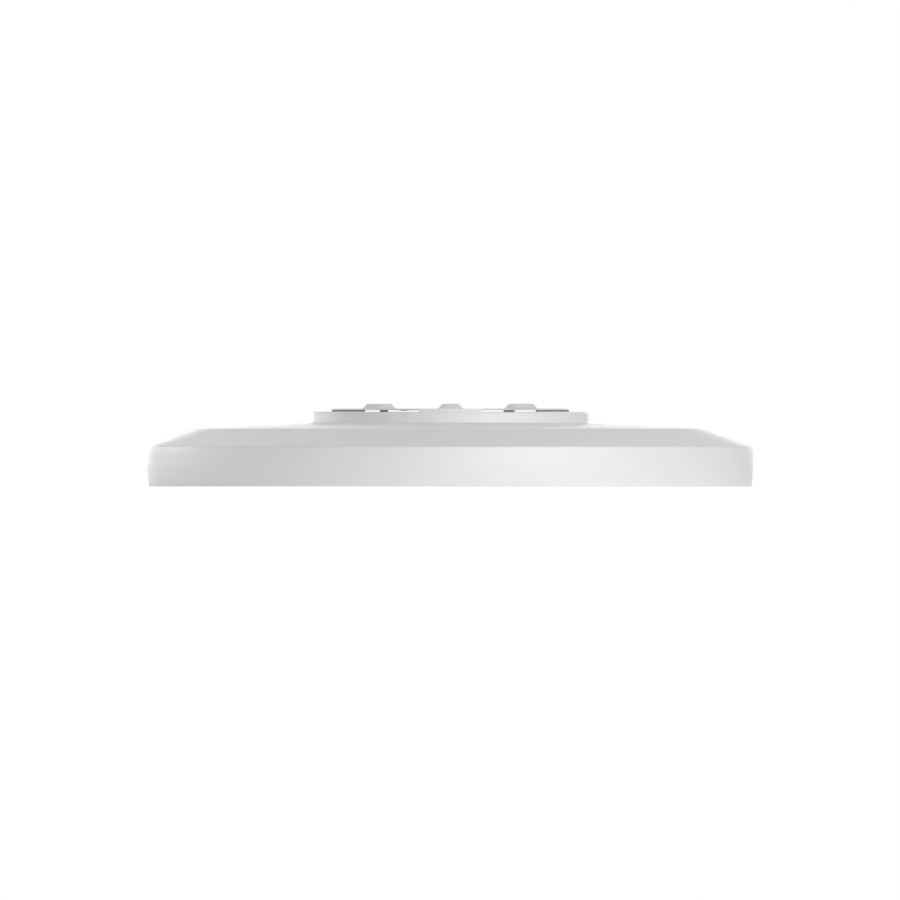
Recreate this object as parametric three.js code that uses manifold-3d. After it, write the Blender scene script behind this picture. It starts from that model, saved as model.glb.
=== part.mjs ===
// Ceiling access point: a round two-shell body that hangs on a twist-lock ceiling bracket.
// Millimetres. +Z points to the ceiling, -Y to the front. The origin is the centre of the room-side face.
// Angles are in degrees, counted from the front (-Y) and anticlockwise seen from the ceiling.

import * as THREE from "three";
import { mergeVertices } from "three/addons/utils/BufferGeometryUtils.js";
import Module from "manifold-3d";

// ---------- Driving dimensions ----------

const BODY_R = 110;
const SHELL_T = 2.2; // moulded wall thickness
const WALL_TOP = 14.42; // top edge of the front cover's wall
const SEAM_GAP = 0.3; // between the two shells
const CHAMFER_R = 92.5; // the chamfer runs from the wall in to this radius
const CHAMFER_TOP = 21.05;
const BOSS_R = 50.55; // round boss that the bracket docks on
const BOSS_BASE = 23;
const BOSS_TOP = 27.13;

const SHEET_T = 0.6; // bracket's sheet steel
const PLATE_R = 43.2;
const PLATE_BOTTOM = 27.65;
const PLATE_TOP = PLATE_BOTTOM + SHEET_T;
const PAD_TOP = 30; // the stand-off pads touch the ceiling here
const PAD_CIRCLE_R = 29.8;
const PAD_ANGLES = [0, 120, 240];
const HOOK_R = 26.5;
const HOOK_ANGLES = [54, 174, 294];
const HOOK_HALF = 6.5; // half of a hook leg's width, in degrees
const HOOK_FOOT = 8.6; // how far the foot reaches past the leg, in degrees
const HOOK_BOTTOM = 24.2;
const HOOK_FOOT_TOP = 25;
const TWIST = 12; // turn from locked to free, in degrees

const BAY_HALF_X = 31; // cable bay, open to the ceiling
const BAY_FRONT = 33;
const BAY_BACK = 75;
const BAY_FLOOR = 9.6;
const BAY_WALL = 1.6;

const BOARD_R = 78;
const BOARD_BACK = 58; // the disc is cut off behind this
const BOARD_BOTTOM = 7;
const BOARD_TOP = 8.6;
const ON_BOARD = BOARD_TOP + 0.02; // a part's underside, just clear of the board

const JACK_X = -14;
const JACK_FACE = BAY_FRONT + 0.2; // the sockets stand a little proud of the bay wall
const DC_X = 5;
const DC_Z = 15.2;
const RESET_X = 18;
const RESET_Z = 12;
const RESET_R = 1.6; // button's stem

const SPREADER_BOTTOM = 11.6; // heat sink's base plate
const SPREADER_TOP = 13.6;
const FIN_TOP = 18.2;

const SINK_SCREWS = [[-48, -44], [48, -44], [48, -2], [-48, -2]];
const BOARD_SCREWS = [[-50, 36], [50, 36]];
const LED_Y = -70;

const ROUND = 72; // segments of a large turned surface
const SMALL_ROUND = 16; // segments of a post, hole or screw
const OVER = 1; // how far a cutting shape passes beyond what it cuts
const SINK = 0.5; // how deep a joined shape sinks into its neighbour

// ---------- Solids from three.js geometry ----------

const wasm = await Module();
wasm.setup();

function solidOf(geometry) {
  const bare = geometry.index ? geometry.toNonIndexed() : geometry.clone();
  bare.deleteAttribute("normal");
  bare.deleteAttribute("uv");
  const merged = mergeVertices(bare, 1e-4);
  const all = Array.from(merged.index.array);
  const triVerts = [];
  for (let i = 0; i < all.length; i += 3) {
    const [a, b, c] = all.slice(i, i + 3);
    if (a !== b && b !== c && a !== c) triVerts.push(a, b, c);
  }
  return new wasm.Manifold(
    new wasm.Mesh({
      numProp: 3,
      vertProperties: merged.attributes.position.array,
      triVerts: new Uint32Array(triVerts),
    }),
  );
}

function geometryOf(solid) {
  const made = solid.getMesh();
  const geometry = new THREE.BufferGeometry();
  geometry.setAttribute("position", new THREE.BufferAttribute(made.vertProperties, 3));
  geometry.setIndex(new THREE.BufferAttribute(made.triVerts, 1));
  geometry.computeVertexNormals();
  return geometry;
}

const join = (solids) => solids.reduce((sum, next) => sum.add(next));
const cut = (solid, holes) => holes.reduce((rest, hole) => rest.subtract(hole), solid);

// Turns a profile of [radius, height] points about Z. It starts and ends on the axis, or closes on itself.
function turned(profile, segments = ROUND) {
  const doubleArea = profile.reduce((sum, [r, z], i) => {
    const [nextR, nextZ] = profile[(i + 1) % profile.length];
    return sum + r * nextZ - nextR * z;
  }, 0);
  const ordered = doubleArea > 0 ? profile : [...profile].reverse();
  const points = ordered.map(([r, z]) => new THREE.Vector2(r, z));
  if (ordered[0][0] > 0) points.push(points[0].clone());
  return solidOf(new THREE.LatheGeometry(points, segments).rotateX(Math.PI / 2));
}

function block(x0, x1, y0, y1, z0, z1) {
  const box = new THREE.BoxGeometry(x1 - x0, y1 - y0, z1 - z0);
  return solidOf(box.translate((x0 + x1) / 2, (y0 + y1) / 2, (z0 + z1) / 2));
}

// A block of the given width and depth that stands on z0, centred on x, y.
const slab = (x, y, width, depth, z0, z1) =>
  block(x - width / 2, x + width / 2, y - depth / 2, y + depth / 2, z0, z1);

function rod(radius, z0, z1, x = 0, y = 0, segments = SMALL_ROUND) {
  const upright = new THREE.CylinderGeometry(radius, radius, z1 - z0, segments).rotateX(Math.PI / 2);
  return solidOf(upright.translate(x, y, (z0 + z1) / 2));
}

function rodAlongY(radius, y0, y1, x, z, segments = SMALL_ROUND) {
  const lying = new THREE.CylinderGeometry(radius, radius, y1 - y0, segments);
  return solidOf(lying.translate(x, (y0 + y1) / 2, z));
}

// Upright rods of one size at several places.
const rodsAt = (places, radius, z0, z1) => places.map(([x, y]) => rod(radius, z0, z1, x, y));

function prism(shape, z0, z1, curveSegments = 6) {
  const settings = { depth: z1 - z0, bevelEnabled: false, curveSegments };
  return new THREE.ExtrudeGeometry(shape, settings).translate(0, 0, z0);
}

function roundedRectangle(x0, x1, y0, y1, r) {
  const shape = new THREE.Shape();
  shape.absarc(x1 - r, y0 + r, r, -Math.PI / 2, 0);
  shape.absarc(x1 - r, y1 - r, r, 0, Math.PI / 2);
  shape.absarc(x0 + r, y1 - r, r, Math.PI / 2, Math.PI);
  shape.absarc(x0 + r, y0 + r, r, Math.PI, 1.5 * Math.PI);
  return shape;
}

// From an angle counted from the front to one counted from +X, in radians.
const fromX = (degrees) => THREE.MathUtils.degToRad(degrees - 90);
const polar = (r, degrees) => [r * Math.cos(fromX(degrees)), r * Math.sin(fromX(degrees))];

// A piece of a flat ring between two radii and two angles.
function sectorGeometry(r0, r1, from, to, z0, z1, curveSegments = 8) {
  const shape = new THREE.Shape();
  shape.absarc(0, 0, r1, fromX(from), fromX(to), false);
  shape.absarc(0, 0, r0, fromX(to), fromX(from), true);
  return prism(shape, z0, z1, curveSegments);
}
const sector = (...sizes) => solidOf(sectorGeometry(...sizes));

// A slot with round ends that follows a circle.
function arcSlot(r, width, from, to, z0, z1) {
  const half = width / 2;
  const ends = [from, to].map((angle) => rod(half, z0, z1, ...polar(r, angle)));
  return join([sector(r - half, r + half, from, to, z0, z1), ...ends]);
}

// A cone's lower part, drawn out by the same length either way along X.
function longFrustum(lowR, highR, z0, z1, stretch) {
  const halfStep = Math.PI / SMALL_ROUND;
  const cone = new THREE.CylinderGeometry(highR, lowR, z1 - z0, SMALL_ROUND, 1, false, halfStep);
  cone.rotateX(Math.PI / 2).translate(0, 0, (z0 + z1) / 2);
  const { position } = cone.attributes;
  for (let i = 0; i < position.count; i++) {
    const x = position.getX(i);
    if (Math.abs(x) > 1e-6) position.setX(i, x + Math.sign(x) * stretch);
  }
  return cone;
}

// ---------- Materials ----------

const finish = (color, roughness, metalness = 0) =>
  new THREE.MeshStandardMaterial({ color, roughness, metalness });
const WHITE_CASE = finish(0xececec, 0.42);
const WHITE_STEEL = finish(0xe4e4e4, 0.5);
const DARK_RUBBER = finish(0x5c5c5c, 0.8);
const LABEL = finish(0xd9dadb, 0.5);
const CLEAR_PLASTIC = finish(0xf2f6f8, 0.2);
const BOARD_GREEN = finish(0x1f5a37, 0.5);
const ALUMINIUM = finish(0xb4b6b8, 0.4, 1);
const TINPLATE = finish(0xc4c5c4, 0.3, 1);
const CHIP_BLACK = finish(0x1b1c1e, 0.5);
const SOCKET_BLACK = finish(0x151515, 0.45);
const THERMAL_GREY = finish(0x8c96a6, 0.9);
const GOLD = finish(0xd9b45a, 0.25, 1);
const SCREW_STEEL = finish(0x9a9a98, 0.35, 1);
const BUTTON_GREY = finish(0x77797b, 0.5);

const accessPoint = new THREE.Group();

function add(name, shape, material, position = [0, 0, 0], parent = accessPoint) {
  const geometry = shape.isBufferGeometry ? shape : geometryOf(shape);
  const mesh = new THREE.Mesh(geometry, material.clone());
  mesh.name = name;
  mesh.position.set(...position);
  parent.add(mesh);
}

// ---------- Shells ----------

// The shells are screwed together at the sides and the back, and snapped together at the front.
const CASE_SCREW_R = 84;
const CASE_SCREWS = [-145, -98, 98, 145].map((angle) => polar(CASE_SCREW_R, angle));
const SNAPS = { angles: [-50, 0, 50], half: 6, z0: 11.3, z1: 12.3, reach: 1, clearance: 0.4 };

const FACE_LEAN = 0.5; // the wall leans in by this much at the face
const LEAN_TOP = 7.6; // and is upright from here
const RIM_ROUND = 0.4;
const COVER_INNER_R = BODY_R - SHELL_T - 0.2;
const COVER_COVE = 1.8; // between the wall and the face, inside
const CASE_POST = { r: 4, top: 12.6, pilotR: 1.75, pilotFoot: 4 };
const BOARD_POST = { r: 3.5, pilotR: 1.5, pilotFoot: 3.2 };
const LIGHT_HOLE_R = 1.8;

// Room-side shell: face, wall, screw posts and the light pipe's hole.
function frontCover() {
  const dish = turned([
    [0, 0],
    [BODY_R - 2 * FACE_LEAN, 0],
    [BODY_R - FACE_LEAN, FACE_LEAN],
    [BODY_R - FACE_LEAN / 2, LEAN_TOP / 2],
    [BODY_R, LEAN_TOP],
    [BODY_R, WALL_TOP - RIM_ROUND],
    [BODY_R - RIM_ROUND, WALL_TOP],
    [COVER_INNER_R + RIM_ROUND, WALL_TOP],
    [COVER_INNER_R, WALL_TOP - RIM_ROUND],
    [COVER_INNER_R, SHELL_T + COVER_COVE],
    [COVER_INNER_R - COVER_COVE, SHELL_T],
    [0, SHELL_T],
  ]);
  const boardPlaces = [...SINK_SCREWS, ...BOARD_SCREWS];
  const posts = [
    ...rodsAt(CASE_SCREWS, CASE_POST.r, SHELL_T - SINK, CASE_POST.top),
    ...rodsAt(boardPlaces, BOARD_POST.r, SHELL_T - SINK, BOARD_BOTTOM),
  ];
  const { half, z0, z1, reach, clearance } = SNAPS;
  const snapGrooves = SNAPS.angles.map((angle) => {
    const [from, to] = [angle - half - clearance, angle + half + clearance];
    const outer = COVER_INNER_R + reach;
    return sector(COVER_INNER_R - OVER, outer, from, to, z0 - clearance, z1 + clearance);
  });
  return cut(join([dish, ...posts]), [
    ...snapGrooves,
    ...rodsAt(CASE_SCREWS, CASE_POST.pilotR, CASE_POST.pilotFoot, CASE_POST.top + OVER),
    ...rodsAt(boardPlaces, BOARD_POST.pilotR, BOARD_POST.pilotFoot, BOARD_BOTTOM + OVER),
    rod(LIGHT_HOLE_R, -OVER, SHELL_T + OVER, 0, LED_Y),
  ]);
}

const HOUSING_FOOT = WALL_TOP + SEAM_GAP; // lower edge of the rear housing's chamfer
const CHAMFER_FOOT_R = BODY_R - 0.45;
const CHAMFER_ROUND = 0.6; // facet along the chamfer's upper edge
const BOSS_DRAFT = 0.1;
const BOSS_FILLET = 0.5; // at the boss's foot
const BOSS_ROUND = 0.8; // at its top edge
const CONE_FOOT = [CHAMFER_R - CHAMFER_ROUND, CHAMFER_TOP + 0.05];
const CONE_HEAD = [BOSS_R + BOSS_FILLET, BOSS_BASE];
const housingOutside = [
  [CHAMFER_FOOT_R, HOUSING_FOOT],
  [CHAMFER_R + CHAMFER_ROUND, CHAMFER_TOP - 0.2],
  CONE_FOOT,
  CONE_HEAD,
  [BOSS_R + 0.2 * BOSS_FILLET, BOSS_BASE + 0.4 * BOSS_FILLET],
  [BOSS_R - BOSS_DRAFT, BOSS_TOP - BOSS_ROUND],
  [BOSS_R - BOSS_DRAFT - 0.35 * BOSS_ROUND, BOSS_TOP - 0.3 * BOSS_ROUND],
  [BOSS_R - BOSS_DRAFT - BOSS_ROUND, BOSS_TOP],
];

// Height of the shallow cone between the boss and the chamfer.
function coneHeight(r) {
  const share = (CONE_FOOT[0] - r) / (CONE_FOOT[0] - CONE_HEAD[0]);
  return THREE.MathUtils.lerp(CONE_FOOT[1], CONE_HEAD[1], share);
}

const BAY_CORNER = 3;
const JACK_W = 16;
const JACK_H = 13.4;
const DC_W = 9;
const DC_H = 11;
const PORT_CLEARANCE = 0.35;

function bay() {
  const outline = (wall) =>
    roundedRectangle(
      -BAY_HALF_X - wall,
      BAY_HALF_X + wall,
      BAY_FRONT - wall,
      BAY_BACK + wall,
      BAY_CORNER + wall / 2,
    );
  return {
    walls: solidOf(prism(outline(BAY_WALL), BAY_FLOOR - BAY_WALL, BOSS_TOP)),
    cavity: solidOf(prism(outline(0), BAY_FLOOR, PAD_TOP + OVER)),
  };
}

// The holes in the bay's front wall, for the sockets and the reset button.
function portHoles() {
  const [front, back] = [BAY_FRONT - BAY_WALL - OVER, BAY_FRONT + OVER / 2];
  const hole = (x, width, height) =>
    block(
      x - width / 2 - PORT_CLEARANCE,
      x + width / 2 + PORT_CLEARANCE,
      front,
      back,
      BAY_FLOOR - BAY_WALL - OVER,
      BOARD_TOP + height + PORT_CLEARANCE,
    );
  return [
    hole(JACK_X, JACK_W, JACK_H),
    hole(DC_X, DC_W, DC_H),
    rodAlongY(RESET_R + 0.4, front, back, RESET_X, RESET_Z),
  ];
}

const INDEX = { r: 44, half: 13.5 }; // front index block; half of its width is in degrees
const DETENT_ANGLE = -28;
const DETENT_R = 36;
const DIMPLE_R = 2;
const DIMPLE_DEPTH = 0.2;
const LOCK_SLOT = { angle: 152, r: 100, length: 7, width: 3.2, z: 18, depth: 12 };
const LIP = { gap: 0.6, depth: 3.8, step: 0.85 }; // lip inside the front cover's wall
const LIP_OUTER_R = BODY_R - SHELL_T - LIP.gap;
const WELL = { r: 5.2, bottom: 12.9, boreR: 3.7, seat: 14.6, holeR: 1.8 };
const BOSS_ROOF = 2; // thickness of the boss's top wall
const HOOK_SLOT = { half: 1.2, spare: 1, depth: 3 }; // spare room at either end is in degrees

// The rear housing's section, without the bay and the wells.
function housingSection() {
  const lipInner = LIP_OUTER_R - SHELL_T;
  return [
    ...housingOutside,
    [0, BOSS_TOP],
    [0, BOSS_TOP - BOSS_ROOF],
    [BOSS_R - SHELL_T, BOSS_TOP - BOSS_ROOF],
    [BOSS_R - SHELL_T, BOSS_BASE - SHELL_T],
    [CHAMFER_R - OVER, CHAMFER_TOP - SHELL_T],
    [lipInner, HOUSING_FOOT - LIP.step],
    [lipInner, HOUSING_FOOT - LIP.depth],
    [LIP_OUTER_R, HOUSING_FOOT - LIP.depth],
    [LIP_OUTER_R, HOUSING_FOOT],
  ];
}

// Slots in which the bracket's hooks slide, the hole that catches its dimple, and the cable lock's slot.
function dockHoles() {
  const [low, high] = [BOSS_TOP - HOOK_SLOT.depth, BOSS_TOP + 0.1];
  const hookSlots = HOOK_ANGLES.map((angle) => {
    const from = angle - HOOK_HALF - HOOK_SLOT.spare;
    const to = angle + HOOK_HALF + TWIST + HOOK_SLOT.spare;
    return sector(HOOK_R - HOOK_SLOT.half, HOOK_R + HOOK_SLOT.half, from, to, low, high);
  });
  const detentHole = rod(DIMPLE_R + 0.6, low, high, ...polar(DETENT_R, DETENT_ANGLE));
  const lockSlot = new THREE.BoxGeometry(LOCK_SLOT.length, LOCK_SLOT.width, LOCK_SLOT.depth);
  lockSlot.rotateZ(fromX(LOCK_SLOT.angle) + Math.PI / 2);
  lockSlot.translate(...polar(LOCK_SLOT.r, LOCK_SLOT.angle), LOCK_SLOT.z);
  return [...hookSlots, detentHole, solidOf(lockSlot)];
}

// Ceiling-side shell: chamfer, cone, boss with the hook slots, cable bay and screw wells.
function rearHousing() {
  const envelope = turned([[0, 0], [CHAMFER_FOOT_R, 0], ...housingOutside, [0, BOSS_TOP]]);
  const { walls, cavity } = bay();
  const wells = rodsAt(CASE_SCREWS, WELL.r, WELL.bottom, BOSS_TOP);
  const inside = join([walls, ...wells]).intersect(envelope);
  const indexOuter = BOSS_R - 0.15;
  const { half, z0, z1, reach, clearance } = SNAPS;
  const snapOuter = COVER_INNER_R + reach - clearance;
  const snaps = SNAPS.angles.map((angle) =>
    sector(LIP_OUTER_R - SINK, snapOuter, angle - half, angle + half, z0, z1),
  );
  const index = sector(INDEX.r, indexOuter, -INDEX.half, INDEX.half, BOSS_TOP - SINK, PLATE_TOP);
  return cut(join([turned(housingSection()), inside, index, ...snaps]), [
    cavity,
    ...portHoles(),
    ...rodsAt(CASE_SCREWS, WELL.boreR, WELL.seat, BOSS_TOP),
    ...rodsAt(CASE_SCREWS, WELL.holeR, WELL.bottom - OVER, WELL.seat + OVER / 2),
    ...dockHoles(),
  ]);
}

const LABEL_PATCH = { inner: 60, outer: 78, from: -143, to: -116, clearance: 0.05, thickness: 0.15 };

// Blank rating label, a curved patch just clear of the cone.
function rearLabel() {
  const { inner, outer, from, to, clearance, thickness } = LABEL_PATCH;
  const low = (r) => coneHeight(r) + clearance;
  const ring = turned([
    [inner, low(inner)],
    [outer, low(outer)],
    [outer, low(outer) + thickness],
    [inner, low(inner) + thickness],
  ]);
  return ring.intersect(sector(inner - OVER, outer + OVER, from, to, WALL_TOP, PAD_TOP));
}

// ---------- Ceiling bracket ----------

const PAD = { lowR: 4.35, highR: 2.9, stretch: 1.33, shell: 0.5, holeR: 2.1 };
const HOOK_WINDOW_R = 20.5; // inner edge of the window that a hook is bent out of
const BOX_SLOT = { r: 30, width: 4.3, half: 12, angles: [90, 270] }; // for a junction box's screws
const NOTCH = { half: 17, front: 33.5, back: 60, corner: 4 }; // cable notch in the plate's back edge
const TONGUE = { r0: 33.6, r1: 38.4, root: -40, tip: -22, slit: 0.8, tipGap: 1.3 };
const CENTRE_HOLE_R = 10.3;
const ARROW = { r: 1.7, y: -39.5 }; // triangular hole that points to the front
const DAMPER = { inner: 1.9, outer: 0.1, bottom: 27.17, from: 48.6, to: 131.4 };

// Sheet-steel stand-off pads, hollow underneath and drilled for the ceiling screws.
function padSolids(angle) {
  const place = polar(PAD_CIRCLE_R, angle);
  const dome = (shrink, z0, z1) => {
    const frustum = longFrustum(PAD.lowR - shrink, PAD.highR - shrink, z0, z1, PAD.stretch);
    return solidOf(frustum.rotateZ(fromX(angle)).translate(...place, 0));
  };
  return {
    raised: dome(0, PLATE_TOP - SHEET_T / 2, PAD_TOP),
    hollow: dome(PAD.shell, PLATE_BOTTOM - 0.1, PAD_TOP - SHEET_T),
    hole: rod(PAD.holeR, PLATE_BOTTOM - OVER, PAD_TOP + OVER, ...place),
  };
}

// An L-shaped hook bent down out of the plate. Its foot reaches under the boss's top wall.
function hook(angle) {
  const [r0, r1] = [HOOK_R - SHEET_T / 2, HOOK_R + SHEET_T / 2];
  const [from, to] = [angle - HOOK_HALF, angle + HOOK_HALF];
  const leg = sector(r0, r1, from, to, HOOK_FOOT_TOP - SINK, PLATE_TOP - 0.1, 4);
  return leg.add(sector(r0, r1, from - HOOK_FOOT, to, HOOK_BOTTOM, HOOK_FOOT_TOP, 7));
}

// The slit that frees the spring tongue on three sides.
function tongueSlit(low, high) {
  const { r0, r1, root, tip, slit, tipGap } = TONGUE;
  const window = sector(r0 - slit, r1 + slit, root, tip, low, high);
  return window.subtract(sector(r0, r1, root - OVER, tip - tipGap, low - OVER, high + OVER));
}

// Everything that is punched out of the plate, apart from what belongs to the pads.
function plateHoles() {
  const [low, high] = [PLATE_BOTTOM - OVER, PLATE_TOP + OVER];
  const windows = HOOK_ANGLES.map((angle) => {
    const half = HOOK_HALF + HOOK_SLOT.spare;
    return sector(HOOK_WINDOW_R, HOOK_R, angle - half, angle + half, low, high, 4);
  });
  const boxSlots = BOX_SLOT.angles.map((angle) =>
    arcSlot(BOX_SLOT.r, BOX_SLOT.width, angle - BOX_SLOT.half, angle + BOX_SLOT.half, low, high),
  );
  const notch = roundedRectangle(-NOTCH.half, NOTCH.half, NOTCH.front, NOTCH.back, NOTCH.corner);
  const arrow = new THREE.CylinderGeometry(ARROW.r, ARROW.r, high - low, 3).rotateX(Math.PI / 2);
  return [
    ...windows,
    ...boxSlots,
    solidOf(prism(notch, low, high)),
    tongueSlit(low, high),
    rod(CENTRE_HOLE_R, low, high, 0, 0, 2 * SMALL_ROUND),
    solidOf(arrow.translate(0, ARROW.y, (low + high) / 2)),
  ];
}

function mountingBracket() {
  const plate = turned([
    [0, PLATE_BOTTOM],
    [PLATE_R, PLATE_BOTTOM],
    [PLATE_R, PLATE_BOTTOM + SHEET_T / 3],
    [PLATE_R - SHEET_T, PLATE_TOP - SHEET_T / 5],
    [PLATE_R - 2 * SHEET_T, PLATE_TOP],
    [0, PLATE_TOP],
  ]);
  const pads = PAD_ANGLES.map(padSolids);
  const blank = cut(join([plate, ...pads.map((pad) => pad.raised)]), [
    ...pads.flatMap((pad) => [pad.hollow, pad.hole]),
    ...plateHoles(),
  ]);
  const [low, high] = [PLATE_BOTTOM - DIMPLE_DEPTH, PLATE_BOTTOM + DIMPLE_DEPTH];
  const dimple = rod(DIMPLE_R, low, high, ...polar(DETENT_R, DETENT_ANGLE), 12);
  return join([blank, dimple, ...HOOK_ANGLES.map(hook)]);
}

// A thin rubber arc under the plate's rim that stops rattle.
const damperArc = (from, to) =>
  sector(PLATE_R - DAMPER.inner, PLATE_R - DAMPER.outer, from, to, DAMPER.bottom, PLATE_BOTTOM, 14);

// ---------- Board and what stands on it ----------

const SCREW_HOLE_R = 1.6;
const BAY_MARGIN = 0.4; // between the board and the bay's walls
const CAN = { sheet: 0.4, roof: SPREADER_BOTTOM - 0.8 };
const SPREADER = { x: 54, front: -50, back: 4, corner: 5 };
const FINS = { count: 13, pitch: 7, thickness: 1.4, length: 50 };
const SINK_LEG_R = 3.5;

function mainBoard() {
  const disc = rod(BOARD_R, BOARD_BOTTOM, BOARD_TOP, 0, 0, ROUND);
  const [low, high] = [BOARD_BOTTOM - OVER, BOARD_TOP + OVER];
  const halfX = BAY_HALF_X + BAY_WALL + 2 * BAY_MARGIN;
  return cut(disc, [
    block(-halfX, halfX, BAY_FRONT - BAY_WALL - BAY_MARGIN, BODY_R, low, high),
    block(-BODY_R, BODY_R, BOARD_BACK, BODY_R, low, high),
    ...rodsAt([...SINK_SCREWS, ...BOARD_SCREWS], SCREW_HOLE_R, low, high),
  ]);
}

// A drawn can, open at the bottom, that sits on the board.
function shieldCan(width, depth) {
  const inside = slab(0, 0, width - 2 * CAN.sheet, depth - 2 * CAN.sheet, -OVER, CAN.roof - CAN.sheet);
  return slab(0, 0, width, depth, ON_BOARD, CAN.roof).subtract(inside);
}

const CHIP = { carrier: 0.35, capInset: 0.6, markR: 0.5, markInset: 1.8, markDepth: 0.1 };

// A chip: a thin carrier with a smaller moulded cap that has a round mark in one corner.
function chip(width, depth, height) {
  const carrierTop = CHIP.carrier * height;
  const carrier = slab(0, 0, width, depth, 0, carrierTop);
  const [capWidth, capDepth] = [width - 2 * CHIP.capInset, depth - 2 * CHIP.capInset];
  const cap = slab(0, 0, capWidth, capDepth, carrierTop / 2, height);
  const [markX, markY] = [CHIP.markInset - width / 2, depth / 2 - CHIP.markInset];
  const mark = rod(CHIP.markR, height - CHIP.markDepth, height + OVER, markX, markY, 8);
  return join([carrier, cap]).subtract(mark);
}

function heatSink() {
  const { x, front, back, corner } = SPREADER;
  const base = prism(roundedRectangle(-x, x, front, back, corner), SPREADER_BOTTOM, SPREADER_TOP, 4);
  const fins = Array.from({ length: FINS.count }, (_, i) => {
    const finX = (i - (FINS.count - 1) / 2) * FINS.pitch;
    const finY = (front + back) / 2;
    return slab(finX, finY, FINS.thickness, FINS.length, SPREADER_TOP - SINK, FIN_TOP);
  });
  const legs = rodsAt(SINK_SCREWS, SINK_LEG_R, ON_BOARD, SPREADER_BOTTOM + SINK);
  const holes = rodsAt(SINK_SCREWS, SCREW_HOLE_R, ON_BOARD - OVER, SPREADER_TOP + OVER);
  return cut(join([solidOf(base), ...fins, ...legs]), holes);
}

const ANTENNA = { half: 12, depth: 9, bottom: 3.4, sheet: 0.5, lip: 2, feedWidth: 2 };
const ANTENNA_SLOT = { x: 3, y: 1.5, length: 14, width: 1.6 };

// A folded inverted-F antenna of thin plate under the board. It lies along X.
function antenna() {
  const { half, depth, bottom, sheet, lip, feedWidth } = ANTENNA;
  const { x, y, length, width } = ANTENNA_SLOT;
  const top = BOARD_BOTTOM - 0.02;
  const blade = slab(0, 0, 2 * half, depth, bottom, bottom + sheet);
  const slot = slab(x, y, length, width, bottom - OVER, bottom + OVER);
  const feed = slab(-half / 2, (sheet - depth) / 2, feedWidth, sheet, bottom, top);
  const ground = slab(sheet / 2 - half, (5 * sheet - depth) / 2, sheet, 5 * sheet, bottom, top);
  const fold = slab(half - sheet / 2, 0, sheet, depth, bottom, bottom + lip);
  return join([blade.subtract(slot), feed, ground, fold]);
}

// ---------- Sockets and reset ----------

const JACK_DEPTH = 20.6;
const JACK_BACK = JACK_FACE - JACK_DEPTH;
const JACK_TOP = ON_BOARD + JACK_H;
const SHIELD_T = 0.3;
const BODY_GAP = 0.05; // between the socket's body and its shield
const PLUG_ROOM = { half: 5.95, bottom: 10.3, top: 18.3, depth: 13 };
const LATCH_ROOM = { half: 3.1, top: 20.8, depth: 10 };
const CONTACTS = { count: 8, pitch: 1.02, width: 0.45, thickness: 0.3, length: 9, tilt: -0.2 };
const WIRE_MIDDLE = { behindFace: 6.7, aboveFloor: 1.15 };
const CONTACT_BAR = { behindFace: 2.4, width: 9, depth: 0.8, height: 0.4 };

function ethernetShield() {
  const half = JACK_W / 2;
  const inner = half - SHIELD_T;
  const outside = block(JACK_X - half, JACK_X + half, JACK_BACK, JACK_FACE, ON_BOARD, JACK_TOP);
  const [front, back] = [JACK_BACK + SHIELD_T, JACK_FACE + OVER];
  return outside.subtract(
    block(JACK_X - inner, JACK_X + inner, front, back, ON_BOARD - OVER, JACK_TOP - SHIELD_T),
  );
}

function ethernetBody() {
  const half = JACK_W / 2 - SHIELD_T - BODY_GAP;
  const top = JACK_TOP - SHIELD_T - BODY_GAP;
  const [back, face] = [JACK_BACK + SHIELD_T + 2 * BODY_GAP, JACK_FACE - 2 * BODY_GAP];
  const room = ({ half: halfX, depth }, z0, z1) =>
    block(JACK_X - halfX, JACK_X + halfX, JACK_FACE - depth, JACK_FACE + OVER, z0, z1);
  return cut(block(JACK_X - half, JACK_X + half, back, face, ON_BOARD, top), [
    room(PLUG_ROOM, PLUG_ROOM.bottom, PLUG_ROOM.top),
    room(LATCH_ROOM, PLUG_ROOM.top - OVER, LATCH_ROOM.top),
  ]);
}

// Eight spring wires that rise from a bar at the mouth's lower edge towards the back.
function ethernetContacts() {
  const { count, pitch, width, thickness, length, tilt } = CONTACTS;
  const foot = PLUG_ROOM.bottom + 0.02;
  const barY = JACK_FACE - CONTACT_BAR.behindFace;
  const bar = slab(JACK_X, barY, CONTACT_BAR.width, CONTACT_BAR.depth, foot, foot + CONTACT_BAR.height);
  const [wireY, wireZ] = [JACK_FACE - WIRE_MIDDLE.behindFace, PLUG_ROOM.bottom + WIRE_MIDDLE.aboveFloor];
  const wires = Array.from({ length: count }, (_, i) => {
    const wire = new THREE.BoxGeometry(width, length, thickness).rotateX(tilt);
    const x = JACK_X + (i - (count - 1) / 2) * pitch;
    return solidOf(wire.translate(x, wireY, wireZ));
  });
  return join([bar, ...wires]);
}

const DC = { depth: 14, boreR: 3.2, boreDepth: 10, pinR: 1, pinTip: 1 };

function dcBody() {
  const half = DC_W / 2;
  const back = JACK_FACE - DC.depth;
  const body = block(DC_X - half, DC_X + half, back, JACK_FACE, ON_BOARD, ON_BOARD + DC_H);
  return body.subtract(rodAlongY(DC.boreR, JACK_FACE - DC.boreDepth, JACK_FACE + OVER, DC_X, DC_Z));
}

// The socket's centre pin, with a tapered tip.
function dcPin() {
  const length = DC.boreDepth - DC.pinTip - 0.1;
  const pin = turned(
    [[0, 0], [DC.pinR, 0], [DC.pinR, length - 0.5], [0.5 * DC.pinR, length], [0, length]],
    SMALL_ROUND,
  );
  return geometryOf(pin).rotateX(-Math.PI / 2).translate(DC_X, JACK_FACE - DC.boreDepth + 0.1, DC_Z);
}

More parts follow.
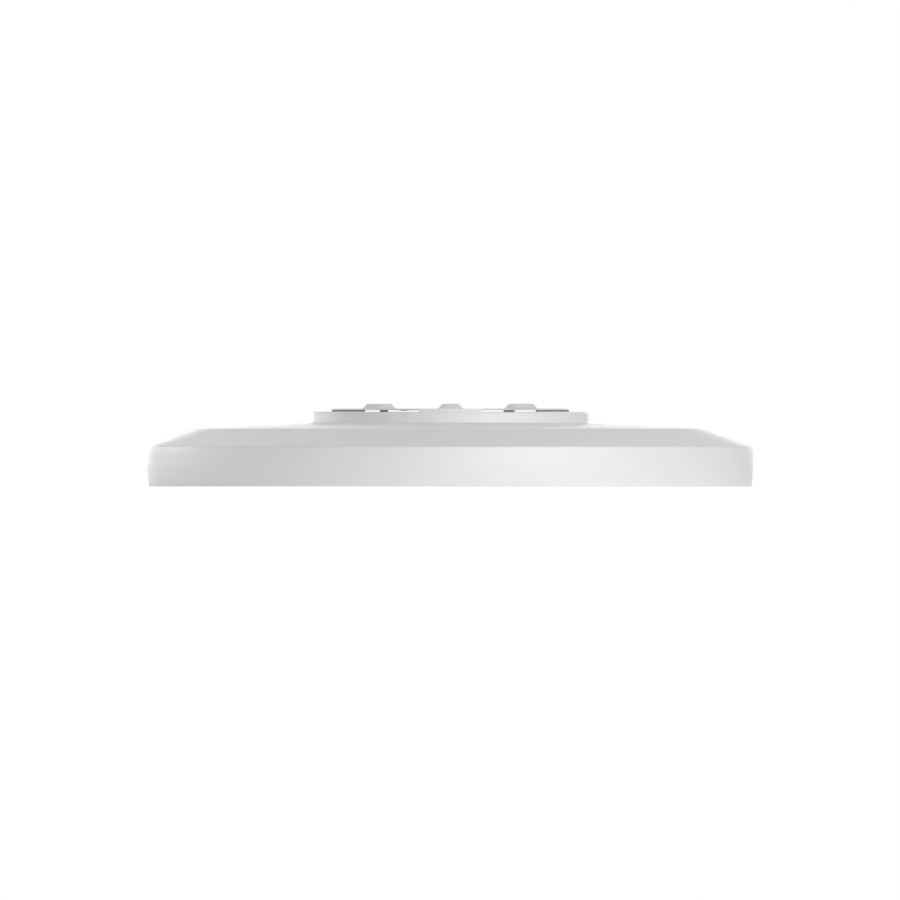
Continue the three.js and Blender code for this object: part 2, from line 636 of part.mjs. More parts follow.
const RESET_TRAVEL = 0.4;
const STEM_BACK = BAY_FRONT - BAY_WALL - 1.9; // inner end of the button's stem
const COLLAR = { r: 2.4, thickness: 0.6 };
const SWITCH = { half: 3, depth: 3.2, rise: 2.4, plungerR: 1.1, plungerLength: 0.6 };

function resetButton() {
  const collarFace = BAY_FRONT - BAY_WALL - 0.1;
  const collarBack = collarFace - COLLAR.thickness;
  const stem = rodAlongY(RESET_R, STEM_BACK, BAY_FRONT - 0.4, RESET_X, RESET_Z, 20);
  return stem.add(rodAlongY(COLLAR.r, collarBack, collarFace, RESET_X, RESET_Z, 20));
}

// The switch behind the button, with its plunger.
function resetSwitch() {
  const { half, depth, rise, plungerR, plungerLength } = SWITCH;
  const plungerFace = STEM_BACK - RESET_TRAVEL - 0.1;
  const face = plungerFace - plungerLength;
  const body = block(RESET_X - half, RESET_X + half, face - depth, face, ON_BOARD, RESET_Z + rise);
  return body.add(rodAlongY(plungerR, face - SINK, plungerFace, RESET_X, RESET_Z));
}

// ---------- Fasteners, light and loose components ----------

// A cross-head pan screw. Its head's underside is at the origin.
function panScrew({ shankR, shankLength, headR, headHeight }) {
  const head = turned(
    [[0, 0], [headR, 0], [headR, headHeight * 0.55], [headR * 0.7, headHeight], [0, headHeight]],
    SMALL_ROUND,
  );
  const shank = rod(shankR, -shankLength, 0.2);
  const [across, blade] = [headR * 1.1, 0.7];
  return geometryOf(
    cut(head.add(shank), [
      slab(0, 0, across, blade, headHeight * 0.45, headHeight + OVER),
      slab(0, 0, blade, across, headHeight * 0.45, headHeight + OVER),
    ]),
  );
}

const CASE_SCREW = { shankR: 1.5, shankLength: 7.6, headR: 2.8, headHeight: 2.2 };
const SINK_SCREW = { shankR: 1.25, shankLength: 9.6, headR: 2.5, headHeight: 1.8 };
const BOARD_SCREW = { ...SINK_SCREW, shankLength: 4.8 };
const PIPE = { r: 1.55, top: 5.9, flangeR: 3, flangeTop: 3.3 };
const LED = { width: 2.8, depth: 1.6, height: 0.5, lensR: 0.65, lensHeight: 0.3 };

function lightPipe() {
  const flange = rod(PIPE.flangeR, SHELL_T + 0.05, PIPE.flangeTop, 0, LED_Y);
  return rod(PIPE.r, 0.05, PIPE.top, 0, LED_Y).add(flange);
}

// A small lamp on the underside of the board, with its lens over the light pipe.
function statusLed() {
  const top = BOARD_BOTTOM - 0.02;
  const seat = top - LED.height;
  const body = slab(0, LED_Y, LED.width, LED.depth, seat, top);
  return body.add(rod(LED.lensR, seat - LED.lensHeight, seat + 0.1, 0, LED_Y));
}

// A can capacitor with its rolled groove.
function capacitor(radius, height) {
  const groove = 0.4;
  const profile = [
    [0, 0],
    [radius, 0],
    [radius, 3 * groove],
    [radius - groove, 4 * groove],
    [radius, 5 * groove],
    [radius, height - groove],
    [radius - groove, height],
    [0, height],
  ];
  return geometryOf(turned(profile, SMALL_ROUND));
}

const TRANSFORMER = { width: 17, depth: 14, height: 9.6, foot: 1.6, coreWidth: 15, coreDepth: 9 };
const WINDING = { r: 3.55, length: 12.4, z: 5.3 };

// A transformer: a round winding held by a square core on a foot.
function transformer() {
  const { width, depth, height, foot, coreWidth, coreDepth } = TRANSFORMER;
  return geometryOf(
    join([
      slab(0, 0, width, depth, 0, foot),
      slab(0, 0, coreWidth, coreDepth, foot - SINK, height),
      rodAlongY(WINDING.r, -WINDING.length / 2, WINDING.length / 2, 0, WINDING.z),
    ]),
  );
}

const INDUCTOR = { half: 5, corner: 1.5, footTop: 1.15, drumR: 4.6, height: 4.6, dishR: 3.6, dishDepth: 0.3 };

// A power inductor: a drum in a square foot, with a shallow dish on top.
function inductor() {
  const { half, corner, footTop, drumR, height, dishR, dishDepth } = INDUCTOR;
  const foot = solidOf(prism(roundedRectangle(-half, half, -half, half, corner), 0, footTop, 3));
  const drum = rod(drumR, footTop - SINK, height, 0, 0, 2 * SMALL_ROUND);
  const dish = rod(dishR, height - dishDepth, height + OVER, 0, 0, 2 * SMALL_ROUND);
  return geometryOf(foot.add(drum).subtract(dish));
}

// ---------- Assembly ----------

add("front_cover", frontCover(), WHITE_CASE);
add("rear_housing", rearHousing(), WHITE_CASE);
add("rear_label", rearLabel(), LABEL);
add("light_pipe", lightPipe(), CLEAR_PLASTIC);

const bracket = new THREE.Group();
accessPoint.add(bracket);
add("mounting_bracket", mountingBracket(), WHITE_STEEL, [0, 0, 0], bracket);
add("damper_right", damperArc(DAMPER.from, DAMPER.to), DARK_RUBBER, [0, 0, 0], bracket);
add("damper_left", damperArc(-DAMPER.to, -DAMPER.from), DARK_RUBBER, [0, 0, 0], bracket);

add("main_board", mainBoard(), BOARD_GREEN);
add("heat_sink", heatSink(), ALUMINIUM);

const RADIOS = [
  { name: "soc", x: 0, width: 32, depth: 32, chipWidth: 17 },
  { name: "radio_left", x: -33, width: 24, depth: 28, chipWidth: 10 },
  { name: "radio_right", x: 33, width: 24, depth: 28, chipWidth: 10 },
];
const RADIO_Y = -24;
const CHIP_H = 1.2;
const PAD_GAP = 0.02; // between a thermal pad and what it touches
for (const { name, x, width, depth, chipWidth } of RADIOS) {
  const chipPlace = [x, RADIO_Y - 4, ON_BOARD];
  const pad = slab(0, 0, width - 10, depth - 10, CAN.roof + PAD_GAP, SPREADER_BOTTOM - PAD_GAP);
  add(`${name}_shield`, shieldCan(width, depth), TINPLATE, [x, RADIO_Y, 0]);
  add(`${name}_chip`, chip(chipWidth, chipWidth, CHIP_H), CHIP_BLACK, chipPlace);
  add(`${name}_thermal_pad`, pad, THERMAL_GREY, [x, RADIO_Y, 0]);
}
add("memory_chip", chip(13, 8, 1), CHIP_BLACK, [0, RADIO_Y + 11, ON_BOARD]);

// [x, y, turn in degrees]
const ANTENNAS = [[-64, -18, 90], [64, -18, 90], [-62, 20, 90], [62, 20, 90], [-19, -66, 0], [19, -66, 0]];
const antennaShape = geometryOf(antenna());
ANTENNAS.forEach(([x, y, turn], i) => {
  const place = new THREE.Group();
  place.position.set(x, y, 0);
  place.rotation.z = THREE.MathUtils.degToRad(turn);
  accessPoint.add(place);
  add(`antenna_${i + 1}`, antennaShape, TINPLATE, [0, 0, 0], place);
});

add("ethernet_shield", ethernetShield(), TINPLATE);
add("ethernet_body", ethernetBody(), SOCKET_BLACK);
add("ethernet_contacts", ethernetContacts(), GOLD);
add("dc_socket_body", dcBody(), SOCKET_BLACK);
add("dc_socket_pin", dcPin(), TINPLATE);
add("reset_button", resetButton(), BUTTON_GREY);
add("reset_switch", resetSwitch(), CHIP_BLACK);

add("poe_transformer", transformer(), CHIP_BLACK, [-36, 18, ON_BOARD]);
add("power_inductor", inductor(), CHIP_BLACK, [31, 15, ON_BOARD]);
const CAPACITORS = [[38, 26], [44, 14], [-52, 16]];
const capacitorShape = capacitor(4, 9.5);
CAPACITORS.forEach(([x, y], i) => {
  add(`capacitor_${i + 1}`, capacitorShape, ALUMINIUM, [x, y, ON_BOARD]);
});
add("status_led", statusLed(), CLEAR_PLASTIC);

function addScrews(family, places, sizes, seat) {
  const shape = panScrew(sizes);
  places.forEach(([x, y], i) => add(`${family}_${i + 1}`, shape, SCREW_STEEL, [x, y, seat + 0.02]));
}
addScrews("case_screw", CASE_SCREWS, CASE_SCREW, WELL.seat);
addScrews("heat_sink_screw", SINK_SCREWS, SINK_SCREW, SPREADER_TOP);
addScrews("board_screw", BOARD_SCREWS, BOARD_SCREW, BOARD_TOP);

export default accessPoint;
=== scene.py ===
"""Looks of the ceiling access point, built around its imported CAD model. Blender 4.5, metres."""

import math

import bmesh
import bpy
from mathutils import Matrix, Vector


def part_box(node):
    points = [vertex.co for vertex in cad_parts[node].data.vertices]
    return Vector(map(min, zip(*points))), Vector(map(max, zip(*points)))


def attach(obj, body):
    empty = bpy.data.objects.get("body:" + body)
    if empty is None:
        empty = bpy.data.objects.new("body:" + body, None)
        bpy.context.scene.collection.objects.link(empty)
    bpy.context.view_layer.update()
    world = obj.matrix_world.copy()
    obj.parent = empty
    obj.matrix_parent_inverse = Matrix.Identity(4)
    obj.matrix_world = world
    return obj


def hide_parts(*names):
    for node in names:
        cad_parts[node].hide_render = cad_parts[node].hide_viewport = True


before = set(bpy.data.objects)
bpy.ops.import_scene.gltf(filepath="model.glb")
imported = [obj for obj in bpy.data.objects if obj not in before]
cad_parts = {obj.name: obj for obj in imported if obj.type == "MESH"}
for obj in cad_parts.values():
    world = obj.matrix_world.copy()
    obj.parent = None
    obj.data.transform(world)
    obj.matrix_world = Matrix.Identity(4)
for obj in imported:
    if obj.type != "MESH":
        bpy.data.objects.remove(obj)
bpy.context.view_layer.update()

MM = 0.001

# ---------- Driving dimensions, in millimetres and degrees ----------

# Places are the CAD model's. Sizes follow it closely, and a few are adjusted for the finer shapes.

BODY_R = 110.0
SHELL_T = 2.2
WALL_TOP = 14.42  # top edge of the front cover's wall
SEAM = 0.01  # the CAD model's is wider, for clearance
CHAMFER_FOOT_R = 109.6
CHAMFER_R = 92.4
CHAMFER_TOP = 21.03
BOSS_R = 50.5
BOSS_BASE = 23.0
BOSS_TOP = 27.13
BOSS_ROOF = 2.0  # thickness of the boss's top wall
COVER_INNER_R = BODY_R - 2.4
LIP_R = BODY_R - SHELL_T - 0.6  # outside of the rear housing's lip, which stands in the front cover
LIP_INNER_R = LIP_R - SHELL_T
LIP_BOTTOM = WALL_TOP - 3.5

SHEET_T = 0.6
PLATE_R = 43.15
PLATE_BOTTOM = 27.65
PLATE_TOP = PLATE_BOTTOM + SHEET_T
RIM_WIDTH = 1.0  # of the plate's rolled rim
RIM_DROP = 0.42
CENTRE_HOLE_R = 10.3
PAD_RISE = 1.74
PAD_R = 29.8
PAD_ANGLES = (0, 120, 240)
PAD_CORE = 2.7  # radius of the pad's flat top
PAD_STRETCH = 1.73  # half of its straight middle
PAD_FLANK = 2.1  # how far the flank spreads around it
PAD_HOLE_R = 2.1
HOOK_R = 26.5
HOOK_ANGLES = (54, 174, 294)
HOOK_HALF = 6.5  # half of a hook leg's width, in degrees
HOOK_FOOT = 8.6  # how far the foot reaches past the leg, in degrees
HOOK_BOTTOM = 24.2
HOOK_FOOT_TOP = 25.0
HOOK_TOP = PLATE_TOP - 0.1  # inside the sheet
HOOK_WINDOW_R = 20.5  # inner edge of the window that a hook leaves in the plate
HOOK_SLOT_HALF = 1.2
HOOK_SPARE = 1  # degrees left free at either side of a hook
TWIST = 12
BOX_SLOT_R = 30  # slots for the screws of a junction box
BOX_SLOT_WIDTH = 4.3
BOX_SLOT_ANGLES = (90, 270)
BOX_SLOT_HALF = 12  # degrees
NOTCH = (-17, 17, 33.5, 60)  # x and y limits of the cable notch, which opens to the back
NOTCH_CORNER = 4
ARROW_R = 1.7  # triangular hole that points to the front
ARROW_Y = -39.5
TONGUE_RADII = (33.6, 38.4)  # spring tongue
TONGUE_ANGLES = (-40, -22)  # its root, and the end of the slit past its tip
TONGUE_SLIT = 0.8
TONGUE_TIP_GAP = 1.3  # degrees
DETENT_R = 36.0  # place of the dimple on the tongue
DETENT_ANGLE = -28
DIMPLE_R = 2.0
DIMPLE_DEPTH = 0.22

INDEX_BLOCK = (44, BOSS_R - 0.15, -13.5, 13.5)  # radii and angles of the block on the boss's front rim
DIMPLE_HOLE_R = DIMPLE_R + 0.6
BOSS_HOLE_DEPTH = 3  # more than the boss's top wall
BAY_HALF_X = 31.0  # cable bay
BAY_FRONT = 33.0
BAY_BACK = 75.0
BAY_FLOOR = 9.6
BAY_WALL = 1.6
BAY_CORNER = 3
PORT_CLEARANCE = 0.35
PORT_CORNER = 0.4
BUTTON_HOLE_R = 2
CASE_SCREW_R = 84
CASE_SCREW_ANGLES = (-145, -98, 98, 145)
HEAT_SINK_SCREWS = ((-48, -44), (48, -44), (48, -2), (-48, -2))
BOARD_SCREWS = ((-50, 36), (50, 36))
WELL_R = 5.2  # wells of the case screws
WELL_BOTTOM = 12.9
WELL_SEAT = 14.6
WELL_BORE_R = 3.7
WELL_HOLE_R = 1.8
CASE_POST_R = 4
CASE_POST_TOP = 12.6
CASE_PILOT_R = 1.75
CASE_PILOT_FOOT = 4
BOARD_POST_R = 3.5
BOARD_POST_TOP = 7
BOARD_PILOT_R = 1.5
BOARD_PILOT_FOOT = 3.2
LED_Y = -70.0
LIGHT_HOLE_R = 1.8
LOCK_SLOT = (-3.5, 3.5, -1.6, 1.6)  # x and y limits, before it is put in place
LOCK_SLOT_CORNER = 1.2
LOCK_SLOT_R = 100
LOCK_SLOT_ANGLE = 152

SINK = 0.5  # how deep a joined shape sinks into its neighbour
OVER = 1  # how far a cutting shape passes beyond what it cuts, in either unit
SKY = 40  # above the whole object

ROUND = 288  # segments of a large turned surface
SMALL = 48  # segments of a hole, post or screw
SHEET_RINGS = 84
SHEET_SEGMENTS = 360

# ---------- Outlines ----------


def rounded(corners, steps=6):
    """A closed outline through (x, y, fillet radius) corners, with each fillet as an arc."""
    points = []
    for i, (x, y, radius) in enumerate(corners):
        here = Vector((x, y))
        if radius == 0:
            points.append(here)
            continue
        before = (Vector(corners[i - 1][:2]) - here).normalized()
        after = (Vector(corners[(i + 1) % len(corners)][:2]) - here).normalized()
        half = before.angle(after) / 2
        centre = here + (before + after).normalized() * (radius / math.sin(half))
        spoke = here + before * (radius / math.tan(half)) - centre
        last = here + after * (radius / math.tan(half)) - centre
        sweep = -spoke.angle_signed(last)
        for step in range(steps + 1):
            points.append(centre + Matrix.Rotation(sweep * step / steps, 2) @ spoke)
    return [tuple(p) for p in points]


def rounded_open(corners, steps=6):
    """As rounded(), for a run of corners that stays open: its first corner is a plain point."""
    first = (corners[0][0], corners[0][1], 0)
    closing = [(0, corners[-1][1], 0), (0, corners[0][1], 0)]
    return rounded([first, *corners[1:], *closing], steps)[:-2]


def rectangle(x0, x1, y0, y1, radius, steps=6):
    return rounded([(x0, y0, radius), (x1, y0, radius), (x1, y1, radius), (x0, y1, radius)], steps)


def polar(radius, degrees):
    """A point at an angle counted from the front, anticlockwise seen from the ceiling."""
    angle = math.radians(degrees)
    return radius * math.sin(angle), -radius * math.cos(angle)


def sector(r0, r1, start, end, steps=24):
    """A piece of a ring, between two radii and two angles."""
    turns = [start + (end - start) * i / steps for i in range(steps + 1)]
    return [polar(r1, t) for t in turns] + [polar(r0, t) for t in reversed(turns)]


def arc_slot(radius, width, start, end, steps=16):
    """A slot with round ends that follows a circle."""
    half = width / 2
    outer = [polar(radius + half, start + (end - start) * i / steps) for i in range(steps + 1)]
    inner = [polar(radius - half, end + (start - end) * i / steps) for i in range(steps + 1)]
    caps = []
    for angle, side in ((end, 1), (start, -1)):
        centre = Vector(polar(radius, angle))
        out = Vector(polar(1, angle)) * half * side
        caps.append([tuple(centre + Matrix.Rotation(math.pi * i / 10, 2) @ out) for i in range(1, 10)])
    return outer + caps[0] + inner + caps[1]


def circle(radius, x=0.0, y=0.0):
    turns = [2 * math.pi * i / SMALL for i in range(SMALL)]
    return [(x + radius * math.cos(t), y + radius * math.sin(t)) for t in turns]


CASE_SCREWS = [polar(CASE_SCREW_R, angle) for angle in CASE_SCREW_ANGLES]

# ---------- Solids ----------


def new_piece(name, mesh):
    """An object from a bmesh, which it uses up."""
    data = bpy.data.meshes.new(name)
    bmesh.ops.recalc_face_normals(mesh, faces=mesh.faces)
    mesh.to_mesh(data)
    mesh.free()
    piece = bpy.data.objects.new(name, data)
    bpy.context.scene.collection.objects.link(piece)
    return piece


def turned(name, outline, segments=ROUND):
    """Turns a closed outline of (radius, height) points about Z."""
    mesh = bmesh.new()
    rings = []
    for radius, height in outline:
        count = segments if radius > 1e-6 else 1
        turns = [2 * math.pi * i / count for i in range(count)]
        places = [(radius * math.cos(t) * MM, radius * math.sin(t) * MM, height * MM) for t in turns]
        rings.append([mesh.verts.new(place) for place in places])
    for one, two in zip(rings, rings[1:] + rings[:1]):
        if len(one) == len(two) == 1:
            continue
        for i in range(segments):
            j = i + 1
            corners = (one[i % len(one)], one[j % len(one)], two[j % len(two)], two[i % len(two)])
            mesh.faces.new(list(dict.fromkeys(corners)))
    return new_piece(name, mesh)


def prism(outline, z0, z1):
    """An upright prism from an outline of (x, y) points."""
    mesh = bmesh.new()
    low = [mesh.verts.new((x * MM, y * MM, z0 * MM)) for x, y in outline]
    high = [mesh.verts.new((x * MM, y * MM, z1 * MM)) for x, y in outline]
    mesh.faces.new(low)
    mesh.faces.new(high)
    for i in range(len(outline)):
        j = (i + 1) % len(outline)
        mesh.faces.new((low[i], low[j], high[j], high[i]))
    return new_piece("prism", mesh)


def along_y(outline, y0, y1):
    """A prism along Y from an outline of (x, z) points."""
    piece = prism([(x, -z) for x, z in outline], y0, y1)
    piece.data.transform(Matrix.Rotation(math.radians(-90), 4, "X"))
    return piece


def turn_z(degrees):
    return Matrix.Rotation(math.radians(degrees), 4, "Z")


def boolean(piece, others, operation):
    """Applies the others to the piece one after another, and removes them."""
    for other in others:
        step = piece.modifiers.new(operation, "BOOLEAN")
        step.operation = operation
        step.solver = "MANIFOLD"
        step.object = other
        graph = bpy.context.evaluated_depsgraph_get()
        made = bpy.data.meshes.new_from_object(piece.evaluated_get(graph))
        piece.modifiers.clear()
        piece.data = made
        bpy.data.objects.remove(other)
    return piece


def cut(piece, *others):
    return boolean(piece, others, "DIFFERENCE")


def join(piece, *others):
    return boolean(piece, others, "UNION")


def soften(piece, angle=35):
    """Smooth shading, apart from the edges that are sharper than the angle."""
    piece.data.shade_smooth()
    piece.data.set_sharp_from_angle(angle=math.radians(angle))
    return piece


# ---------- Shells ----------

# Corners of the turned sections: radius, height and fillet radius.
COVER_SECTION = [
    (0, 0, 0),
    (BODY_R - 0.5, 0, 0.4),
    (BODY_R - 0.25, 3.6, 40),
    (BODY_R, 7.6, 40),
    (BODY_R, 12.6, 30),
    (BODY_R - 0.1, WALL_TOP, 0.04),
    (COVER_INNER_R, WALL_TOP, 0.2),
    (COVER_INNER_R, 4, 1.0),
    (COVER_INNER_R - 1.8, SHELL_T, 0.6),
    (0, SHELL_T, 0),
]
HOUSING_OUTSIDE = [
    (CHAMFER_FOOT_R, WALL_TOP + SEAM, 0.02),
    (CHAMFER_R, CHAMFER_TOP, 1.2),
    (BOSS_R + 0.05, BOSS_BASE, 0.6),
    (BOSS_R - 0.1, BOSS_TOP, 0.75),
]
HOUSING_INSIDE = [
    (0, BOSS_TOP, 0),
    (0, BOSS_TOP - BOSS_ROOF, 0),
    (BOSS_R - SHELL_T, BOSS_TOP - BOSS_ROOF, 0.5),
    (BOSS_R - SHELL_T, BOSS_BASE - SHELL_T, 0.5),
    (CHAMFER_R - 1, CHAMFER_TOP - SHELL_T, 1),
    (LIP_INNER_R, WALL_TOP - 0.6, 0.5),
    (LIP_INNER_R, LIP_BOTTOM, 0.2),
    (LIP_R, LIP_BOTTOM, 0.2),
    (LIP_R, WALL_TOP + SEAM, 0),
]


def front_cover():
    """Room-side shell: flat face, drafted wall, screw posts and the light pipe's hole."""
    shell = turned("front_cover_shell", rounded(COVER_SECTION, steps=5))
    board_places = (*HEAT_SINK_SCREWS, *BOARD_SCREWS)
    for place in CASE_SCREWS:
        join(shell, prism(circle(CASE_POST_R, *place), SHELL_T - SINK, CASE_POST_TOP))
    for place in board_places:
        join(shell, prism(circle(BOARD_POST_R, *place), SHELL_T - SINK, BOARD_POST_TOP))
    for place in CASE_SCREWS:
        cut(shell, prism(circle(CASE_PILOT_R, *place), CASE_PILOT_FOOT, CASE_POST_TOP + OVER))
    for place in board_places:
        cut(shell, prism(circle(BOARD_PILOT_R, *place), BOARD_PILOT_FOOT, BOARD_POST_TOP + OVER))
    return soften(cut(shell, prism(circle(LIGHT_HOLE_R, 0, LED_Y), -OVER, SHELL_T + OVER)))


def port_holes():
    """Holes through the bay's front wall, each a little larger than what stands in it."""
    clear = PORT_CLEARANCE
    back = BAY_FRONT - BAY_WALL - OVER
    sill = BAY_FLOOR - BAY_WALL - OVER
    holes = []
    for node in ("ethernet_shield", "dc_socket_body"):
        first, last = (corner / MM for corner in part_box(node))
        outline = rectangle(first.x - clear, last.x + clear, sill, last.z + clear, PORT_CORNER, 3)
        holes.append(along_y(outline, back, BAY_FRONT + SINK))
    first, last = (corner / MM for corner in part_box("reset_button"))
    middle = (first + last) / 2
    holes.append(along_y(circle(BUTTON_HOLE_R, middle.x, middle.z), back, BAY_FRONT + OVER))
    return holes


def boss_holes():
    """Slots that the hooks slide in, and the hole for the dimple."""
    outlines = []
    for angle in HOOK_ANGLES:
        first = angle - HOOK_HALF - HOOK_SPARE
        last = angle + HOOK_HALF + TWIST + HOOK_SPARE
        outlines.append(sector(HOOK_R - HOOK_SLOT_HALF, HOOK_R + HOOK_SLOT_HALF, first, last))
    outlines.append(circle(DIMPLE_HOLE_R, *polar(DETENT_R, DETENT_ANGLE)))
    return [prism(outline, BOSS_TOP - BOSS_HOLE_DEPTH, BOSS_TOP + OVER) for outline in outlines]


def cable_lock_slot():
    """The slot for a cable lock, on the chamfer."""
    slot = prism(rectangle(*LOCK_SLOT, LOCK_SLOT_CORNER), BAY_FLOOR, SKY)
    place = Vector((*polar(LOCK_SLOT_R, LOCK_SLOT_ANGLE), 0)) * MM
    slot.data.transform(Matrix.Translation(place) @ turn_z(LOCK_SLOT_ANGLE))
    return slot


def rear_housing():
    """Ceiling-side shell: chamfer, shallow cone, boss with hook slots, cable bay and screw wells."""
    corners = [(0, 0), (CHAMFER_FOOT_R, 0), *rounded_open(HOUSING_OUTSIDE), (0, BOSS_TOP)]
    envelope = turned("envelope", corners)
    shell = turned("rear_housing_shell", rounded([*HOUSING_OUTSIDE, *HOUSING_INSIDE], steps=6))
    x, front, back, wall = BAY_HALF_X, BAY_FRONT, BAY_BACK, BAY_WALL
    around_bay = rectangle(-x - wall, x + wall, front - wall, back + wall, BAY_CORNER + 1)
    bay = prism(around_bay, BAY_FLOOR - wall, SKY)
    for place in CASE_SCREWS:
        join(bay, prism(circle(WELL_R, *place), WELL_BOTTOM, SKY))
    boolean(bay, [envelope], "INTERSECT")
    join(shell, bay, prism(sector(*INDEX_BLOCK), BOSS_TOP - SINK, PLATE_TOP))
    cut(shell, prism(rectangle(-x, x, front, back, BAY_CORNER, 10), BAY_FLOOR, SKY), *port_holes())
    for place in CASE_SCREWS:
        bore = prism(circle(WELL_BORE_R, *place), WELL_SEAT, SKY)
        cut(shell, bore, prism(circle(WELL_HOLE_R, *place), WELL_BOTTOM - OVER, WELL_SEAT + SINK))
    return soften(cut(shell, *boss_holes(), cable_lock_slot()))


# ---------- Ceiling bracket ----------


def pad_shape(x, y):
    """Share of the full rise of the nearest stand-off pad at a point of the plate, from 0 to 1."""
    best = 0.0
    for angle in PAD_ANGLES:
        out = Vector(polar(1, angle))
        offset = Vector((x, y)) - out * PAD_R
        along = max(-PAD_STRETCH, min(PAD_STRETCH, offset.dot(out)))
        share = 1 - ((offset - out * along).length - PAD_CORE) / PAD_FLANK
        share = max(0.0, min(1.0, share))
        best = max(best, share * share * (3 - 2 * share))
    return best


def dimple_shape(x, y):
    """Share of the dimple's depth at a point of the plate."""
    distance = (Vector((x, y)) - Vector(polar(DETENT_R, DETENT_ANGLE))).length / DIMPLE_R
    return max(0.0, 1 - distance * distance)


def sheet_disc():
    """A finely divided sheet-steel disc whose top rim is rolled over."""
    step = (PLATE_R - CENTRE_HOLE_R) / SHEET_RINGS
    radii = [CENTRE_HOLE_R + step * i for i in range(SHEET_RINGS + 1)]
    top = []
    for r in radii:
        share = max(0.0, r - (PLATE_R - RIM_WIDTH)) / RIM_WIDTH
        top.append((r, PLATE_TOP - RIM_DROP * (1 - math.sqrt(1 - min(1.0, share) ** 2))))
    bottom = [(r, PLATE_BOTTOM) for r in reversed(radii)]
    return turned("mounting_bracket_sheet", top + bottom, SHEET_SEGMENTS)


def hook(angle):
    """An L-shaped hook bent down out of the plate."""
    r0, r1 = HOOK_R - SHEET_T / 2, HOOK_R + SHEET_T / 2
    first, last = angle - HOOK_HALF, angle + HOOK_HALF
    leg = prism(sector(r0, r1, first, last, 12), HOOK_FOOT_TOP - SINK, HOOK_TOP)
    foot = prism(sector(r0, r1, first - HOOK_FOOT, last, 18), HOOK_BOTTOM, HOOK_FOOT_TOP)
    return join(leg, foot)


def tongue_slit(low, high):
    """The slit that frees the spring tongue on three sides."""
    (r0, r1), (root, end) = TONGUE_RADII, TONGUE_ANGLES
    slit = prism(sector(r0 - TONGUE_SLIT, r1 + TONGUE_SLIT, root, end), low, high)
    tongue = sector(r0, r1, root - OVER, end - TONGUE_TIP_GAP)
    return cut(slit, prism(tongue, low - OVER, high + OVER))


def plate_holes():
    """Everything that is punched out of the plate."""
    low, high = PLATE_BOTTOM - OVER, PLATE_TOP + OVER
    outlines = [circle(PAD_HOLE_R, *polar(PAD_R, angle)) for angle in PAD_ANGLES]
    half = HOOK_HALF + HOOK_SPARE
    for angle in HOOK_ANGLES:
        outlines.append(sector(HOOK_WINDOW_R, HOOK_R, angle - half, angle + half, 14))
    for angle in BOX_SLOT_ANGLES:
        outlines.append(arc_slot(BOX_SLOT_R, BOX_SLOT_WIDTH, angle - BOX_SLOT_HALF, angle + BOX_SLOT_HALF))
    outlines.append(rectangle(*NOTCH, NOTCH_CORNER, 8))
    arrow = [(x, y + ARROW_Y) for x, y in (polar(ARROW_R, 120 * i) for i in range(3))]
    holes = [prism(outline, low, high) for outline in outlines]
    return [*holes, tongue_slit(low, high), prism(arrow, low, high)]


def mounting_bracket():
    """Ceiling bracket: a plate with holes, stamped pads and a dimple, and hooks bent down."""
    plate = cut(sheet_disc(), *plate_holes())
    for vertex in plate.data.vertices:
        x, y = vertex.co.x / MM, vertex.co.y / MM
        vertex.co.z += (PAD_RISE * pad_shape(x, y) - DIMPLE_DEPTH * dimple_shape(x, y)) * MM
    join(plate, *[hook(angle) for angle in HOOK_ANGLES])
    return soften(plate, angle=40)


# ---------- Screws ----------

THREAD_PITCH = 0.62  # as a share of the shank's radius, like the next two
THREAD_ROOT = 0.76
NECK = 0.78
NECK_TOP = 0.2  # under the head
THREAD_TOP = 0.6
POINT = 1  # length of the shank's point
HEAD_ROUND = 0.75  # as a share of the head's height
HEAD_EDGE = 0.15
CROSS_REACH = 0.55  # of the cross recess, as a share of the head's radius
CROSS_HALF = 0.36
CROSS_CORNER = 0.15
CROSS_FLOOR = 0.4  # as a share of the head's height
SCREW_TURN = 37  # degrees between one screw's recess and the next one's


def pan_screw(name, head_r, head_h, shank_r, length):
    """A cross-head pan screw with a threaded shank. Its head's underside is at the origin."""
    corners = [(0, head_h, 0), (head_r, head_h, head_h * HEAD_ROUND), (head_r, 0, HEAD_EDGE)]
    pitch = shank_r * THREAD_PITCH
    thread = [(shank_r * NECK, -NECK_TOP)]
    depth = THREAD_TOP
    while depth < length - POINT:
        thread += [(shank_r, -depth - pitch * 0.5), (shank_r * THREAD_ROOT, -depth - pitch)]
        depth += pitch
    screw = turned(name, [*rounded(corners, 8), *thread, (0, -length)], SMALL)
    reach = head_r * CROSS_REACH
    for turn in (0, 90):
        outline = rectangle(-reach, reach, -CROSS_HALF, CROSS_HALF, CROSS_CORNER, 2)
        blade = prism(outline, head_h * CROSS_FLOOR, head_h + OVER)
        blade.data.transform(turn_z(turn))
        cut(screw, blade)
    return soften(screw, angle=30)


def place_screws(family, places, finish, **sizes):
    """Puts a screw in place of each CAD node of that family, with its head's top at the same height."""
    for number, (x, y) in enumerate(places, 1):
        node = f"{family}_{number}"
        piece = pan_screw(f"{node}_steel", **sizes)
        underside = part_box(node)[1].z / MM - sizes["head_h"]
        spin = turn_z(SCREW_TURN * number)
        piece.data.transform(Matrix.Translation(Vector((x, y, underside)) * MM) @ spin)
        dress(piece, finish)
        stand_for(piece, "housing", node)


# ---------- Materials ----------

NOISE_SPAN = (0.3, 0.7)  # where most of a noise's values lie
BROADER = 60  # how much broader the tone's speckles are than the grain's
SURFACE_GLOSS = (0.93, 1.07)  # how far the roughness wanders
BRUSHED_GLOSS = (0.8, 1.25)
PLASTIC_IOR = 1.5


